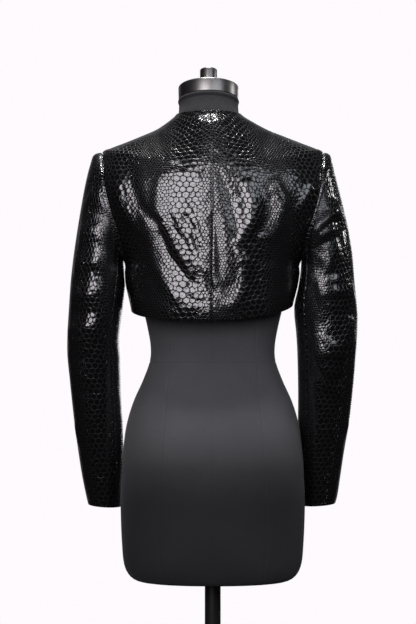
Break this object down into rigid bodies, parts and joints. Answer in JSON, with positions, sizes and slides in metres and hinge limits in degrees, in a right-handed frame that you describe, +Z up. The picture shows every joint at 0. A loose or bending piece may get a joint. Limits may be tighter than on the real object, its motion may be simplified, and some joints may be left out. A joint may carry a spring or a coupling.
{
  "type": "bolero jacket on a dress form",
  "caption": "Cropped, collarless, long-sleeved bolero jacket in scale-embossed leather, open at the front, on a limbless dress form with a capped neck, pole and round base.",
  "frame": {"origin": "middle of the base plate's underside, on the floor", "axes": "+Z up, -Y out of the jacket's open front, +X to the wearer's left"},
  "size_m": [0.5217, 0.38, 1.5476],
  "materials": {
    "embossed_leather": "glossy black, embossed with reptile scales",
    "form_cover": "matte black knitted cover",
    "chrome": "polished",
    "black_paint": "satin black"
  },
  "bodies": {
    "root": {"back_left": "embossed_leather", "back_right": "embossed_leather", "front_left": "embossed_leather", "front_right": "embossed_leather", "top_sleeve_left": "embossed_leather", "top_sleeve_right": "embossed_leather", "under_sleeve_left": "embossed_leather", "under_sleeve_right": "embossed_leather", "dress_form": "form_cover", "neck_cap": "chrome", "neck_knob": "chrome", "pole": "black_paint", "base_plate": "black_paint"}
  },
  "joints": []
}
